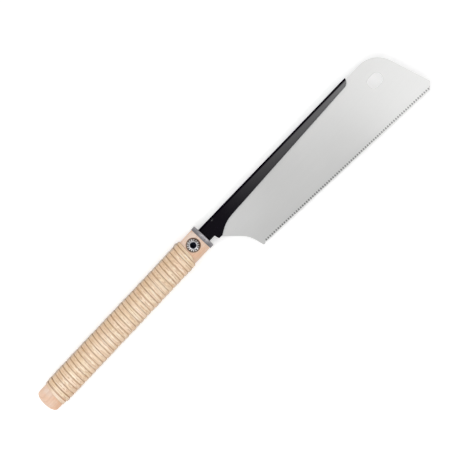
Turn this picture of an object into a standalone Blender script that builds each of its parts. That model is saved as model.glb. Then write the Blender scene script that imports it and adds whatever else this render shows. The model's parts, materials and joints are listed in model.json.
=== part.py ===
"""A dovetail pull saw: a rattan-wrapped wooden handle with a replaceable blade clamped in its head.

Lengths are in metres. The saw lies flat: X runs along the handle from the butt to the toe, Y points to the
saw's back, away from the teeth, and Z points out of the blade's face on the clamp screw's side. The origin
is the centre of the butt's flat end, and the blade's mid-plane is Z = 0.
"""

import math

import bmesh
import bpy
from mathutils import Matrix, Vector

# Wooden core of the handle
HANDLE_LENGTH = 0.246
CORE_WIDTH = 0.0274
CORE_THICKNESS = 0.0204
BUTT_ROUND = 0.006

# Rattan strip wound round the grip
BARE_BUTT = 0.0053
WRAP_TO_SCREW_BORE = 0.0003
STRIP_PITCH = 0.00573
STRIP_THICKNESS = 0.0018
STRIP_GROOVE = 0.0003
STRIP_BEVEL = 0.0009
STRIP_END_WIDTH = 0.0003
SKIVED_THICKNESS = 0.0006
TUCK_RISE = 0.0011
TUCK_TURNS = 0.4

# Ferrule, a pressed cap over a stepped end of the wood
FERRULE_LENGTH = 0.0048
FERRULE_PROUD = 0.0006
FERRULE_WALL = 0.0009
FERRULE_PLATE = 0.0012
FERRULE_EDGE = 0.0004

# Tang of the blade, which the head holds
TANG_HEIGHT = 0.0168
TANG_LENGTH = 0.0215

# Folded back, measured from the ferrule's front along the back's top edge and down from that edge
BLADE_DROOP = math.radians(0.62)
BACK_LEAF = 0.001
FOLD_FLAT = 0.0003
NOTCH_LENGTH = 0.0076
HOOK_REAR = 0.009
HOOK_TIP = 0.0141
HOOK_DEPTH = 0.0223
HOOK_ROUND = 0.0011
FLARE_END = 0.0267
FLARE_ROUND = 0.039
BACK_ROOT_DEPTH = 0.0148
BACK_TOE_DEPTH = 0.0069
BACK_TOE_SLANT = 0.0034
BACK_TOE_ROUND = 0.004

# Toothed plate, measured in the same way
BLADE_THICKNESS = 0.0004
BLADE_SETBACK = 0.0014
BLADE_INSET = 0.0004
HEEL_BEHIND_TIP = 0.0026
HEEL_BEND = 0.0329
HEEL_BEND_DEPTH = 0.0431
HEEL_BEND_ROUND = 0.031
HEEL = 0.0371
HEEL_DEPTH = 0.0613
TOOTH_LEAD = 0.0042
TOOTH_LINE = 0.2366
TOOTH_COUNT = 161
TOOTH_DEPTH = 0.0018
TOOTH_LEAN = 0.25
TOOTH_SLOPE = math.radians(3.18)
TOE_CHAMFER_RUN = 0.0076
TOE_CHAMFER_RISE = 0.0072
TOE_LEAN = math.radians(16.6)
TOE_ROUND = 0.0012
NOSE_ROUND = 0.029
NOSE_BEYOND_BACK = 0.041
HOLE_BEHIND_NOSE = 0.0207
HOLE_DEPTH = 0.0252
HOLE_LENGTH = 0.0172
HOLE_HEIGHT = 0.0124
HOLE_ROUND = 0.0055

# Rivets that hold the plate in the fold
RIVET_DIAMETER = 0.0024
RIVET_PROUD = 0.0001
ROOT_RIVET = 0.018
ROOT_RIVET_DEPTH = 0.003
TANG_RIVET_INSIDE = 0.0062
TANG_RIVET_DEPTH = 0.0132

# Steel liner of the mortise
SOCKET_WALL = 0.0008
SOCKET_FLANGE = 0.0008
SOCKET_BEYOND_TANG = 0.001

# Clamp screw, its cup washer and its nut
SCREW_FROM_FRONT = 0.0153
SCREW_OFFSET = 0.0009
SCREW_DIAMETER = 0.006
SCREW_HEAD_DIAMETER = 0.01
SCREW_HEAD_HEIGHT = 0.0036
SCREW_HEAD_EDGE = 0.0004
SCREW_BELOW_WOOD = 0.0008
HEX_ACROSS = 0.005
HEX_DEPTH = 0.0026
WASHER_RIM_WIDTH = 0.0017
WASHER_RIM_HEIGHT = 0.0012
WASHER_THICKNESS = 0.0012
NUT_FLANGE_DIAMETER = 0.0136
NUT_FLANGE_THICKNESS = 0.0013
NUT_WALL = 0.0012
NUT_BELOW_WOOD = 0.0018
NUT_BEYOND_SCREW = 0.001

# Small countersunk screws of the ferrule
SMALL_SCREW_DIAMETER = 0.0016
SMALL_HEAD_DIAMETER = 0.003
SMALL_SCREW_LENGTH = 0.01
SMALL_SLOT_WIDTH = 0.0005
SMALL_SLOT_DEPTH = 0.0005

# Clearances between neighbouring pieces
SEAT_GAP = 0.00015
SLIDE_GAP = 0.0002
PLATE_GAP = 0.0001
BORE_MARGIN = 0.0005

# Fineness of round shapes, how far cutters run past what they cut, and how near points count as one
OVAL_SIDES = 20
ROUND_SIDES = 24
SMALL_ROUND_SIDES = 12
BUTT_STEPS = 5
FOLD_STEPS = 3
ARC_STEP = math.radians(9.0)
SMOOTH_BELOW = math.radians(30)
CUT_MARGIN = 0.004
SAME_POINT = 0.000001

# Handle, worked out from the sizes above
CORE_HALF_WIDTH = CORE_WIDTH / 2
CORE_HALF_THICKNESS = CORE_THICKNESS / 2
FERRULE_REAR = HANDLE_LENGTH - FERRULE_LENGTH
PLATE_REAR = HANDLE_LENGTH - FERRULE_PLATE
FLANGE_FRONT = PLATE_REAR - SEAT_GAP
FLANGE_REAR = FLANGE_FRONT - SOCKET_FLANGE
SPIGOT_END = FLANGE_REAR - SEAT_GAP
CAP_INSET = FERRULE_WALL - FERRULE_PROUD
SPIGOT_INSET = CAP_INSET + SEAT_GAP

# Back and plate
BACK_SLOT = BLADE_THICKNESS + 2 * PLATE_GAP
BACK_THICKNESS = 2 * BACK_LEAF + BACK_SLOT
TANG_TOP = TANG_HEIGHT / 2
BLADE_TOP = TANG_TOP - BLADE_SETBACK
TOE_END = HEEL + (TOOTH_LEAD + TOOTH_LINE) * math.cos(TOOTH_SLOPE)
TOE_END_DEPTH = HEEL_DEPTH + (TOOTH_LEAD + TOOTH_LINE) * math.sin(TOOTH_SLOPE)
TOE = TOE_END + TOE_CHAMFER_RUN
TOE_DEPTH = TOE_END_DEPTH - TOE_CHAMFER_RISE
NOSE = TOE - (TOE_DEPTH - BLADE_SETBACK) * math.tan(TOE_LEAN)
BACK_LENGTH = NOSE - NOSE_BEYOND_BACK

# Socket and small screws
TANG_HOLE_HEIGHT = TANG_HEIGHT + 2 * SLIDE_GAP
TANG_HOLE_WIDTH = BACK_THICKNESS + 2 * (RIVET_PROUD + SLIDE_GAP)
SOCKET_HEIGHT = TANG_HOLE_HEIGHT + 2 * SOCKET_WALL
SOCKET_WIDTH = TANG_HOLE_WIDTH + 2 * SOCKET_WALL
SOCKET_REAR = HANDLE_LENGTH - TANG_LENGTH - SOCKET_BEYOND_TANG
SMALL_SCREW_Y = (SOCKET_HEIGHT / 2 + CORE_HALF_WIDTH - SPIGOT_INSET) / 2

# Clamp screw, washer and nut
SCREW_X = HANDLE_LENGTH - SCREW_FROM_FRONT
SCREW_HOLE = SCREW_DIAMETER + 2 * SLIDE_GAP
WOOD_AT_SCREW = CORE_HALF_THICKNESS * math.sqrt(1 - (SCREW_OFFSET / CORE_HALF_WIDTH) ** 2)
HEAD_TOP = WOOD_AT_SCREW - SCREW_BELOW_WOOD
HEAD_SEAT = HEAD_TOP - SCREW_HEAD_HEIGHT
WASHER_TOP = HEAD_SEAT - PLATE_GAP
WASHER_SEAT = WASHER_TOP - WASHER_THICKNESS
WASHER_BORE_FLOOR = WASHER_SEAT - SEAT_GAP
WASHER_DIAMETER = SCREW_HEAD_DIAMETER + 2 * WASHER_RIM_WIDTH
WASHER_BORE = WASHER_DIAMETER + 2 * BORE_MARGIN
NUT_HOLE = SCREW_DIAMETER + 2 * SEAT_GAP
NUT_DIAMETER = NUT_HOLE + 2 * NUT_WALL
NUT_BASE = NUT_BELOW_WOOD - WOOD_AT_SCREW
NUT_SEAT = NUT_BASE + NUT_FLANGE_THICKNESS
NUT_TOP = -(SOCKET_WIDTH / 2 + SEAT_GAP)
SCREW_END = NUT_BASE + NUT_BEYOND_SCREW

# Wrap, from the butt's rounding to the screw's bore
WRAP_START = BUTT_ROUND + BARE_BUTT
WRAP_END = SCREW_X - WASHER_BORE / 2 - WRAP_TO_SCREW_BORE


def finish_of(name, colour, roughness, metallic):
    """A plain Principled material."""
    material = bpy.data.materials.new(name)
    material.use_nodes = True
    shader = material.node_tree.nodes["Principled BSDF"]
    shader.inputs["Base Color"].default_value = (*colour, 1)
    shader.inputs["Roughness"].default_value = roughness
    shader.inputs["Metallic"].default_value = metallic
    return material


def place(name, shape, parent=None, at=(0, 0, 0), material=None):
    """An object made from a bmesh, with its faces pointing out and its round sides shaded smooth."""
    bmesh.ops.recalc_face_normals(shape, faces=shape.faces)
    mesh = bpy.data.meshes.new(name)
    shape.to_mesh(mesh)
    shape.free()
    mesh.shade_smooth()
    mesh.set_sharp_from_angle(angle=SMOOTH_BELOW)
    obj = bpy.data.objects.new(name, mesh)
    bpy.context.scene.collection.objects.link(obj)
    obj.parent = parent
    obj.location = at
    if material:
        mesh.materials.append(material)
    return obj


def boolean(obj, helper, operation="DIFFERENCE"):
    """Cuts a helper from an object, or joins it on, and hides the helper."""
    step = obj.modifiers.new(helper.name, "BOOLEAN")
    step.operation = operation
    step.solver = "EXACT"
    step.object = helper
    helper.hide_render = True
    helper.display_type = "WIRE"


def loft(rings):
    """A closed shape through rings of equally many points, with a flat face at each end."""
    shape = bmesh.new()
    loops = [[shape.verts.new(point) for point in ring] for ring in rings]
    for near, far in zip(loops, loops[1:]):
        for i in range(len(near)):
            shape.faces.new((near[i - 1], near[i], far[i], far[i - 1]))
    shape.faces.new(loops[0])
    shape.faces.new(loops[-1])
    return shape


def oval_point(turns, proud=0.0):
    """The (y, z) of a point on the handle's oval, turned from +Z to the saw's back, proud of the wood."""
    angle = 2 * math.pi * turns
    y = (CORE_HALF_WIDTH + proud) * math.sin(angle)
    z = (CORE_HALF_THICKNESS + proud) * math.cos(angle)
    return y, z


def oval(x, inset=0.0):
    """A ring of points on the handle's oval at x, drawn in by inset."""
    return [(x, *oval_point(i / OVAL_SIDES, -inset)) for i in range(OVAL_SIDES)]


def prism(outline, thickness):
    """An outline in the XY plane, extruded to both sides of it."""
    shape = bmesh.new()
    face = shape.faces.new([shape.verts.new((x, y, -thickness / 2)) for x, y in outline])
    raised = bmesh.ops.extrude_face_region(shape, geom=[face])["geom"]
    corners = [part for part in raised if isinstance(part, bmesh.types.BMVert)]
    bmesh.ops.translate(shape, verts=corners, vec=(0, 0, thickness))
    return shape


def block(low, high):
    """A box between two corners."""
    shape = bmesh.new()
    size = Vector(high) - Vector(low)
    middle = (Vector(high) + Vector(low)) / 2
    matrix = Matrix.Translation(middle) @ Matrix.Diagonal((*size, 1))
    bmesh.ops.create_cube(shape, size=1, matrix=matrix)
    return shape


def turned(profile, sides=ROUND_SIDES):
    """A solid of revolution about Z of (radius, z) points, from the axis to the axis or a closed ring."""
    shape = bmesh.new()
    corners = [shape.verts.new((radius, 0, z)) for radius, z in profile]
    pairs = list(zip(corners, corners[1:]))
    if profile[0][0] > 0:
        pairs.append((corners[-1], corners[0]))
    edges = [shape.edges.new(pair) for pair in pairs]
    bmesh.ops.spin(
        shape,
        geom=corners + edges,
        cent=(0, 0, 0),
        axis=(0, 0, 1),
        angle=2 * math.pi,
        steps=sides,
        use_merge=True,
    )
    bmesh.ops.remove_doubles(shape, verts=shape.verts, dist=SAME_POINT)
    return shape


def rod(diameter, low, high, sides=ROUND_SIDES):
    """A plain cylinder along Z."""
    radius = diameter / 2
    return turned([(0, high), (radius, high), (radius, low), (0, low)], sides)


def along_x(shape):
    """Turns a shape made along Z so that it lies along X."""
    turn = Matrix.Rotation(math.radians(90), 4, "Y")
    bmesh.ops.transform(shape, matrix=turn, verts=shape.verts)
    return shape


def arc(centre, start, sweep):
    """Points from centre + start, turned about the centre through the angle sweep."""
    steps = max(2, math.ceil(abs(sweep) / ARC_STEP))
    turns = [Matrix.Rotation(sweep * step / steps, 2) for step in range(steps + 1)]
    return [tuple(centre + turn @ start) for turn in turns]


def rounded(corners):
    """An outline through (x, y, radius) corners, each with an arc that touches both its sides."""
    outline = []
    for i, (x, y, radius) in enumerate(corners):
        if radius == 0:
            outline.append((x, y))
            continue
        here = Vector((x, y))
        before = (Vector(corners[i - 1][:2]) - here).normalized()
        after = (Vector(corners[(i + 1) % len(corners)][:2]) - here).normalized()
        half = before.angle(after) / 2
        centre = here + (before + after).normalized() * radius / math.sin(half)
        start = here + before * radius / math.tan(half) - centre
        side = math.copysign(1, before.cross(after))
        outline += arc(centre, start, -side * (math.pi - 2 * half))
    return outline


def drooped(x, depth, radius=0.0):
    """A corner of the blade, measured along and down from its back's top edge, in the handle's frame."""
    y = TANG_TOP - depth
    cos, sin = math.cos(BLADE_DROOP), math.sin(BLADE_DROOP)
    return x * cos + y * sin, y * cos - x * sin, radius


def small_screw_profile(gap=0.0):
    """A countersunk screw's half outline, or with a gap the hole that it goes in, open past the head."""
    head = SMALL_HEAD_DIAMETER / 2 + gap
    shank = SMALL_SCREW_DIAMETER / 2 + gap
    sink = head - shank
    tip = HANDLE_LENGTH - SMALL_SCREW_LENGTH - 2 * gap
    outline = [(head, HANDLE_LENGTH), (shank, HANDLE_LENGTH - sink), (shank, tip + shank), (0, tip)]
    if gap:
        outline.insert(0, (head, HANDLE_LENGTH + CUT_MARGIN))
    return [(0, outline[0][1]), *outline]


def screw_slot(end, width):
    """The tang's slot for the clamp screw, open at the tang's end, from the tooth side to the back's."""
    centre = Vector((-SCREW_FROM_FRONT, SCREW_OFFSET))
    inner = arc(centre, Vector((0, -width / 2)), math.pi)
    ends = [(end, SCREW_OFFSET - width / 2), (end, SCREW_OFFSET + width / 2)]
    return [(x, y, 0) for x, y in [ends[0], *inner, ends[1]]]


def handle_core(wood):
    """The oval core: rounded butt, straight grip and head, and a stepped end for the ferrule."""
    rings = []
    for step in range(BUTT_STEPS + 1):
        turn = math.pi / 2 * step / BUTT_STEPS
        rings.append(oval(BUTT_ROUND * (1 - math.cos(turn)), BUTT_ROUND * (1 - math.sin(turn))))
    shoulder = FERRULE_REAR - SEAT_GAP
    rings += [oval(shoulder), oval(shoulder, SPIGOT_INSET), oval(SPIGOT_END, SPIGOT_INSET)]
    shape = loft(rings)
    shape.verts.ensure_lookup_table()
    butt = [shape.verts[i * OVAL_SIDES // 3] for i in range(3)]
    bmesh.ops.connect_verts(shape, verts=butt)
    core = place("handle_core", shape, material=wood)

    half_height = SOCKET_HEIGHT / 2 + SEAT_GAP
    half_width = SOCKET_WIDTH / 2 + SEAT_GAP
    mortise = block(
        (SOCKET_REAR - SEAT_GAP, -half_height, -half_width),
        (SPIGOT_END + CUT_MARGIN, half_height, half_width),
    )
    boolean(core, place("cut_mortise", mortise))
    outside = CORE_HALF_THICKNESS + CUT_MARGIN
    nut_floor = NUT_SEAT + SEAT_GAP
    nut_bore = NUT_DIAMETER / 2 + SEAT_GAP
    flange_bore = NUT_FLANGE_DIAMETER / 2 + BORE_MARGIN
    stepped_bore = [
        (0, outside),
        (WASHER_BORE / 2, outside),
        (WASHER_BORE / 2, WASHER_BORE_FLOOR),
        (SCREW_HOLE / 2, WASHER_BORE_FLOOR),
        (SCREW_HOLE / 2, 0),
        (nut_bore, 0),
        (nut_bore, nut_floor),
        (flange_bore, nut_floor),
        (flange_bore, -outside),
        (0, -outside),
    ]
    boolean(core, place("cut_screw_bore", turned(stepped_bore), at=(SCREW_X, SCREW_OFFSET, 0)))
    for side in (1, -1):
        pilot = along_x(turned(small_screw_profile(SEAT_GAP), SMALL_ROUND_SIDES))
        boolean(core, place(f"cut_pilot_{side}", pilot, at=(0, side * SMALL_SCREW_Y, 0)))


def rattan_wrap(rattan):
    """One strip wound as a helix, from a skived start at the butt to an end cut square before the screw.

    The strip's centre is at x = WRAP_START + pitch (1/2 + turns), where turns counts from +Z to the saw's
    back. The last turn before the cut one rises over the tucked tail, on the back's side.
    """
    half = (STRIP_PITCH - STRIP_GROOVE) / 2
    first = -OVAL_SIDES // 2
    run = WRAP_END - STRIP_END_WIDTH - STRIP_BEVEL + half - WRAP_START
    last = math.floor((run / STRIP_PITCH - 0.5) * OVAL_SIDES)
    tuck = math.floor(last / OVAL_SIDES - 0.25) - 0.75
    stations = []
    for step in range(first, last + 1):
        turns = step / OVAL_SIDES
        centre = WRAP_START + STRIP_PITCH * (0.5 + turns)
        grown = min(1.0, (step - first) / OVAL_SIDES)
        height = SKIVED_THICKNESS + (STRIP_THICKNESS - SKIVED_THICKNESS) * grown
        from_tuck = min(0.5, abs(turns - tuck) / TUCK_TURNS)
        height += TUCK_RISE * (1 + math.cos(2 * math.pi * from_tuck)) / 2
        low = oval_point(turns, SEAT_GAP)
        high = oval_point(turns, SEAT_GAP + height)
        station = [
            (centre - half, *low),
            (min(centre + half, WRAP_END), *low),
            (min(centre + half - STRIP_BEVEL, WRAP_END), *high),
            (centre - half + STRIP_BEVEL, *high),
        ]
        stations.append(station)
    place("rattan_wrap", loft(stations), material=rattan)


def tang_hole():
    """The room that the tang slides in, through the socket and the ferrule's plate."""
    low = (SOCKET_REAR - CUT_MARGIN, -TANG_HOLE_HEIGHT / 2, -TANG_HOLE_WIDTH / 2)
    high = (HANDLE_LENGTH + CUT_MARGIN, TANG_HOLE_HEIGHT / 2, TANG_HOLE_WIDTH / 2)
    return block(low, high)


def ferrule(steel):
    """A cap with a bevelled front edge, a slot for the tang and two countersunk holes."""
    outside = [
        oval(FERRULE_REAR, -FERRULE_PROUD),
        oval(HANDLE_LENGTH - FERRULE_EDGE, -FERRULE_PROUD),
        oval(HANDLE_LENGTH, FERRULE_EDGE - FERRULE_PROUD),
    ]
    cap = place("ferrule", loft(outside), material=steel)
    hollow = loft([oval(FERRULE_REAR - CUT_MARGIN, CAP_INSET), oval(PLATE_REAR, CAP_INSET)])
    boolean(cap, place("cut_cap_hollow", hollow))
    boolean(cap, place("cut_tang_slot", tang_hole()))
    for side in (1, -1):
        sink = along_x(turned(small_screw_profile(SEAT_GAP), SMALL_ROUND_SIDES))
        boolean(cap, place(f"cut_sink_{side}", sink, at=(0, side * SMALL_SCREW_Y, 0)))


def tang_socket(steel):
    """A folded sleeve in the mortise, with an oval flange between the wood and the ferrule's plate."""
    flange = loft([oval(FLANGE_REAR, SPIGOT_INSET), oval(FLANGE_FRONT, SPIGOT_INSET)])
    socket = place("tang_socket", flange, material=steel)
    middle = (FLANGE_REAR + FLANGE_FRONT) / 2
    sleeve = block(
        (SOCKET_REAR, -SOCKET_HEIGHT / 2, -SOCKET_WIDTH / 2),
        (middle, SOCKET_HEIGHT / 2, SOCKET_WIDTH / 2),
    )
    boolean(socket, place("join_sleeve", sleeve), "UNION")
    boolean(socket, place("cut_tang_hole", tang_hole()))
    crossing = rod(SCREW_HOLE, -SOCKET_WIDTH, SOCKET_WIDTH)
    boolean(socket, place("cut_screw_crossing", crossing, at=(SCREW_X, SCREW_OFFSET, 0)))
    for side in (1, -1):
        hole = along_x(turned(small_screw_profile(SEAT_GAP), SMALL_ROUND_SIDES))
        boolean(socket, place(f"cut_flange_{side}", hole, at=(0, side * SMALL_SCREW_Y, 0)))


def ferrule_screw(name, side, steel):
    """One of the two small screws, with a slotted head."""
    at = (0, side * SMALL_SCREW_Y, 0)
    screw = place(name, along_x(turned(small_screw_profile(), SMALL_ROUND_SIDES)), at=at, material=steel)
    slot = block(
        (HANDLE_LENGTH - SMALL_SLOT_DEPTH, -SMALL_SLOT_WIDTH / 2, -SMALL_HEAD_DIAMETER),
        (HANDLE_LENGTH + CUT_MARGIN, SMALL_SLOT_WIDTH / 2, SMALL_HEAD_DIAMETER),
    )
    boolean(screw, place(f"cut_slot_{name}", slot, at=at))


def rivet_places():
    """Each rivet's name and its (x, y) in the blade unit."""
    root = drooped(ROOT_RIVET, ROOT_RIVET_DEPTH)[:2]
    tang = (-TANG_RIVET_INSIDE, TANG_TOP - TANG_RIVET_DEPTH)
    return {"root_rivet": root, "tang_rivet": tang}


def cut_rivet_holes(obj, of_piece, unit):
    """Bores a piece of the blade unit for its rivets."""
    for name, (x, y) in rivet_places().items():
        bore = rod(RIVET_DIAMETER + 2 * PLATE_GAP, -BACK_THICKNESS, BACK_THICKNESS, SMALL_ROUND_SIDES)
        boolean(obj, place(f"cut_{name}_{of_piece}", bore, unit, (x, y, 0)))


def is_ridge(edge, top):
    """Whether an edge runs along the fold, between two of its top corners, at either face of the back."""
    a, b = (vert.co for vert in edge.verts)
    ends = [any((vert.xy - corner).length < SAME_POINT for corner in top) for vert in (a, b)]
    return all(ends) and (a.xy - b.xy).length > SAME_POINT


def saw_back(unit, black_steel):
    """A strip folded over the plate: tang with the screw's slot, hooked root, taper and slanted toe end."""
    end = -TANG_LENGTH
    corners = [
        (end, TANG_TOP, 0),
        (0, TANG_TOP, 0),
        drooped(BACK_LENGTH, 0),
        drooped(BACK_LENGTH - BACK_TOE_SLANT, BACK_TOE_DEPTH, BACK_TOE_ROUND),
        drooped(FLARE_END, BACK_ROOT_DEPTH, FLARE_ROUND),
        drooped(HOOK_TIP, HOOK_DEPTH, HOOK_ROUND),
        drooped(HOOK_REAR, HOOK_DEPTH, HOOK_ROUND),
        (NOTCH_LENGTH, -TANG_TOP, 0),
        (end, -TANG_TOP, 0),
        *screw_slot(end, SCREW_HOLE),
    ]
    shape = prism(rounded(corners), BACK_THICKNESS)
    top = [Vector(corner[:2]) for corner in corners[:3]]
    bmesh.ops.bevel(
        shape,
        geom=[edge for edge in shape.edges if is_ridge(edge, top)],
        offset=(BACK_THICKNESS - FOLD_FLAT) / 2,
        segments=FOLD_STEPS,
        profile=0.5,
        affect="EDGES",
        clamp_overlap=True,
    )
    back = place("saw_back", shape, unit, material=black_steel)
    slot_depth = BLADE_SETBACK - PLATE_GAP
    beyond = BACK_LENGTH + CUT_MARGIN
    below = HOOK_DEPTH + CUT_MARGIN
    slot = [
        (end - CUT_MARGIN, TANG_TOP - slot_depth),
        (0, TANG_TOP - slot_depth),
        drooped(beyond, slot_depth)[:2],
        drooped(beyond, below)[:2],
        (end - CUT_MARGIN, TANG_TOP - below),
    ]
    boolean(back, place("cut_fold", prism(slot, BACK_SLOT), unit))
    cut_rivet_holes(back, "back", unit)


def tooth_corners():
    """The teeth from the toe to the heel: steep faces to the handle, for a saw that cuts on the pull."""
    pitch = TOOTH_LINE / TOOTH_COUNT
    corners = []
    for tooth in reversed(range(TOOTH_COUNT)):
        for share, depth in ((1, TOOTH_DEPTH), (TOOTH_LEAN, 0)):
            along = TOOTH_LEAD + pitch * (tooth + share)
            x = HEEL + along * math.cos(TOOTH_SLOPE) - depth * math.sin(TOOTH_SLOPE)
            down = HEEL_DEPTH + along * math.sin(TOOTH_SLOPE) - depth * math.cos(TOOTH_SLOPE)
            corners.append(drooped(x, down))
    root_x = HEEL + TOOTH_LEAD * math.cos(TOOTH_SLOPE) - TOOTH_DEPTH * math.sin(TOOTH_SLOPE)
    root_depth = HEEL_DEPTH + TOOTH_LEAD * math.sin(TOOTH_SLOPE) - TOOTH_DEPTH * math.cos(TOOTH_SLOPE)
    return [*corners, drooped(root_x, root_depth), drooped(HEEL, HEEL_DEPTH)]


def saw_blade(unit, bright_steel):
    """The toothed plate, with its root inside the fold, a round nose and a hole to hang it by."""
    end = BLADE_INSET - TANG_LENGTH
    tang_bottom = BLADE_INSET - TANG_TOP
    hook_bottom = HOOK_DEPTH - BLADE_INSET
    corners = [
        (end, BLADE_TOP, 0),
        (0, BLADE_TOP, 0),
        drooped(NOSE, BLADE_SETBACK, NOSE_ROUND),
        drooped(TOE, TOE_DEPTH, TOE_ROUND),
        drooped(TOE_END, TOE_END_DEPTH),
        *tooth_corners(),
        drooped(HEEL_BEND, HEEL_BEND_DEPTH, HEEL_BEND_ROUND),
        drooped(HOOK_TIP - HEEL_BEHIND_TIP, hook_bottom),
        drooped(HOOK_REAR + 2 * BLADE_INSET, hook_bottom),
        (NOTCH_LENGTH + 2 * BLADE_INSET, tang_bottom, 0),
        (end, tang_bottom, 0),
        *screw_slot(end, SCREW_HOLE + 2 * BLADE_INSET),
    ]
    blade = place("saw_blade", prism(rounded(corners), BLADE_THICKNESS), unit, material=bright_steel)
    left = NOSE - HOLE_BEHIND_NOSE - HOLE_LENGTH / 2
    right = left + HOLE_LENGTH
    top = HOLE_DEPTH - HOLE_HEIGHT / 2
    bottom = HOLE_DEPTH + HOLE_HEIGHT / 2
    sides = [(left, top), (right, top), (right, bottom), (left, bottom)]
    hole = rounded([drooped(x, depth, HOLE_ROUND) for x, depth in sides])
    boolean(blade, place("cut_hanging_hole", prism(hole, BACK_THICKNESS), unit))
    cut_rivet_holes(blade, "blade", unit)
    triangles = blade.modifiers.new("even triangles", "TRIANGULATE")
    triangles.ngon_method = "BEAUTY"


def rivets(unit, black_steel):
    """Two short rivets with slightly domed ends, through both leaves and the plate."""
    flat = BACK_THICKNESS / 2
    proud = flat + RIVET_PROUD
    radius = RIVET_DIAMETER / 2
    half = [(0, proud), (radius / 2, proud), (radius, flat)]
    profile = half + [(across, -height) for across, height in reversed(half)]
    for name, (x, y) in rivet_places().items():
        place(name, turned(profile, SMALL_ROUND_SIDES), unit, (x, y, 0), black_steel)


def clamp_screw(axis, steel):
    """A low-headed screw with a hex socket."""
    head = SCREW_HEAD_DIAMETER / 2
    shank = SCREW_DIAMETER / 2
    profile = [
        (0, HEAD_TOP),
        (head - SCREW_HEAD_EDGE, HEAD_TOP),
        (head, HEAD_TOP - SCREW_HEAD_EDGE),
        (head, HEAD_SEAT),
        (shank, HEAD_SEAT),
        (shank, SCREW_END),
        (0, SCREW_END),
    ]
    screw = place("clamp_screw", turned(profile), axis, material=steel)
    corner_diameter = 2 * HEX_ACROSS / math.sqrt(3)
    hexagon = rod(corner_diameter, HEAD_TOP - HEX_DEPTH, HEAD_TOP + CUT_MARGIN, sides=6)
    boolean(screw, place("cut_hex", hexagon, axis))


def screw_washer(axis, steel):
    """A cup washer, captive under the screw's head, whose rim stands up round the head."""
    hole = SCREW_DIAMETER / 2 + SEAT_GAP
    seat = SCREW_HEAD_DIAMETER / 2 + SLIDE_GAP
    rim = WASHER_DIAMETER / 2
    rim_top = WASHER_TOP + WASHER_RIM_HEIGHT
    profile = [
        (hole, WASHER_TOP),
        (seat, WASHER_TOP),
        ((seat + rim) / 2, rim_top),
        (rim, WASHER_TOP),
        (rim, WASHER_SEAT),
        (hole, WASHER_SEAT),
    ]
    place("screw_washer", turned(profile), axis, material=steel)


def tee_nut(axis, steel):
    """The flanged nut on the far side of the head, drawn with a plain hole for its thread."""
    hole = NUT_HOLE / 2
    barrel = NUT_DIAMETER / 2
    flange = NUT_FLANGE_DIAMETER / 2
    profile = [
        (hole, NUT_TOP),
        (barrel, NUT_TOP),
        (barrel, NUT_SEAT),
        (flange, NUT_SEAT),
        (flange, NUT_BASE),
        (hole, NUT_BASE),
    ]
    place("tee_nut", turned(profile), axis, material=steel)


def frame(name, at):
    """An empty that carries pieces which share a place."""
    empty = bpy.data.objects.new(name, None)
    bpy.context.scene.collection.objects.link(empty)
    empty.location = at
    return empty


def build():
    for obj in list(bpy.data.objects):
        bpy.data.objects.remove(obj, do_unlink=True)
    wood = finish_of("pale wood", (0.72, 0.50, 0.35), 0.6, 0.0)
    rattan = finish_of("rattan", (0.78, 0.62, 0.40), 0.55, 0.0)
    ferrule_steel = finish_of("grey steel", (0.36, 0.35, 0.37), 0.45, 0.9)
    liner_steel = finish_of("plain sheet steel", (0.45, 0.45, 0.46), 0.5, 0.9)
    zinc_steel = finish_of("bright zinc", (0.62, 0.62, 0.64), 0.3, 1.0)
    black_steel = finish_of("black painted steel", (0.012, 0.012, 0.014), 0.4, 0.2)
    blade_steel = finish_of("ground blade steel", (0.72, 0.72, 0.71), 0.35, 1.0)

    handle_core(wood)
    rattan_wrap(rattan)
    ferrule(ferrule_steel)
    tang_socket(liner_steel)
    ferrule_screw("ferrule_screw_back", 1, zinc_steel)
    ferrule_screw("ferrule_screw_tooth", -1, zinc_steel)

    unit = frame("blade_unit", (HANDLE_LENGTH, 0, 0))
    saw_back(unit, black_steel)
    saw_blade(unit, blade_steel)
    rivets(unit, black_steel)

    axis = frame("screw_axis", (SCREW_X, SCREW_OFFSET, 0))
    clamp_screw(axis, zinc_steel)
    screw_washer(axis, zinc_steel)
    tee_nut(axis, zinc_steel)


build()
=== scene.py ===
"""The looks of a dovetail pull saw: a handle wrapped in rattan, a ferrule, and a blade that a screw clamps.

Lengths are in metres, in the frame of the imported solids: X from the butt to the toe, Y to the saw's back and
away from the teeth, Z out of the blade's face on the screw's side. Colours are linear red, green and blue.
"""

import json

import bmesh
import bpy
import numpy as np
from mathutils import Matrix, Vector
from mathutils.geometry import tessellate_polygon


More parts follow.
